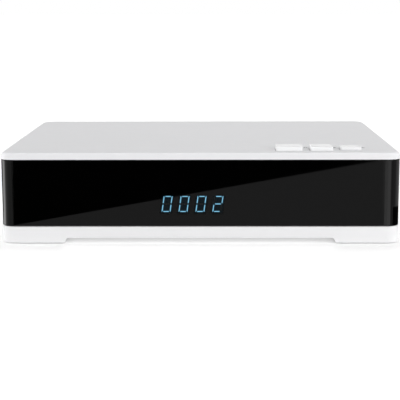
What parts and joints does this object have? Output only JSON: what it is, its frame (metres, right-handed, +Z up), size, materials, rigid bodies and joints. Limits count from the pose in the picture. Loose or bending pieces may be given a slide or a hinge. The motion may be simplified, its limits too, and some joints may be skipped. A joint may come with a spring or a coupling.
{
  "type": "satellite tv receiver",
  "caption": "Low white set-top receiver with a gloss black wrap-round front, a digit display, keys on top and a row of rear sockets.",
  "frame": {"origin": "middle of the footprint, rear aerial sockets included, on the surface that the feet stand on", "axes": "+X to the right seen from the front, +Y to the rear, +Z up"},
  "size_m": [0.236, 0.191, 0.057],
  "materials": {
    "white_shell": "fine satin moulded plastic",
    "white_key": "smooth moulded plastic",
    "black_lens": "polished smoked acrylic",
    "black_plastic": "satin moulded plastic",
    "grey_plastic": "moulded plastic",
    "rubber": "matt rubber",
    "board_green": "solder resist on glass laminate",
    "ribbon_grey": "flat cable sleeve",
    "cream_plastic": "nylon",
    "sleeve_blue": "shrunk sleeve",
    "painted_panel": "matt powder coat",
    "tinned_steel": "tinned sheet",
    "nickel": "nickel plate",
    "aluminium": "plain extrusion",
    "zinc_steel": "zinc plate"
  },
  "bodies": {
    "case": {"base_tray": "white_shell", "top_cover": "white_shell", "front_fascia": "black_lens", "fascia_frame": "black_plastic", "scart_socket": "black_plastic", "audio_jacks": "black_plastic", "digital_audio_jack": "black_plastic", "dc_inlet": "black_plastic", "power_switch_housing": "black_plastic", "processor": "black_plastic", "memory_chip": "black_plastic", "card_reader": "black_plastic", "display_module": "grey_plastic", "infrared_receiver": "grey_plastic", "standby_switch": "grey_plastic", "channel_down_switch": "grey_plastic", "channel_up_switch": "grey_plastic", "supply_coil": "grey_plastic", "foot_pad_front_left": "rubber", "foot_pad_front_right": "rubber", "foot_pad_rear_left": "rubber", "foot_pad_rear_right": "rubber", "main_board": "board_green", "front_board": "board_green", "key_board": "board_green", "front_ribbon": "ribbon_grey", "key_ribbon": "ribbon_grey", "front_header": "cream_plastic", "main_header": "cream_plastic", "supply_capacitor_1": "sleeve_blue", "supply_capacitor_2": "sleeve_blue", "rear_panel": "painted_panel", "tuner_can": "tinned_steel", "hdmi_socket": "tinned_steel", "usb_socket": "tinned_steel", "f_connector_in": "nickel", "f_connector_out": "nickel", "f_connector_nut_in": "nickel", "f_connector_nut_out": "nickel", "heatsink": "aluminium", "case_screw_front_left": "zinc_steel", "case_screw_front_right": "zinc_steel", "case_screw_rear_left": "zinc_steel", "case_screw_rear_right": "zinc_steel", "board_screw_front_left": "zinc_steel", "board_screw_front_right": "zinc_steel", "board_screw_rear_left": "zinc_steel", "board_screw_rear_right": "zinc_steel", "front_board_screw_left": "zinc_steel", "front_board_screw_right": "zinc_steel", "key_board_screw_left": "zinc_steel", "key_board_screw_right": "zinc_steel"},
    "standby_key": {"standby_key": "white_key", "standby_plunger": "black_plastic"},
    "channel_down_key": {"channel_down_key": "white_key", "channel_down_plunger": "black_plastic"},
    "channel_up_key": {"channel_up_key": "white_key", "channel_up_plunger": "black_plastic"},
    "power_rocker": {"power_rocker": "black_plastic"}
  },
  "joints": [
    {"name": "standby_press", "type": "slide", "parent": "case", "child": "standby_key", "axis": [0, 0, -1], "range_m": [0, 0.0005], "stiffness_N_per_m": 800, "springref_m": -0.001},
    {"name": "channel_down_press", "type": "slide", "parent": "case", "child": "channel_down_key", "axis": [0, 0, -1], "range_m": [0, 0.0005], "stiffness_N_per_m": 800, "springref_m": -0.001},
    {"name": "channel_up_press", "type": "slide", "parent": "case", "child": "channel_up_key", "axis": [0, 0, -1], "range_m": [0, 0.0005], "stiffness_N_per_m": 800, "springref_m": -0.001},
    {"name": "power_rock", "type": "hinge", "parent": "case", "child": "power_rocker", "pos_m": [-0.0872, 0.0799, 0.0261], "axis": [1, 0, 0], "range_deg": [-20, 0]}
  ]
}
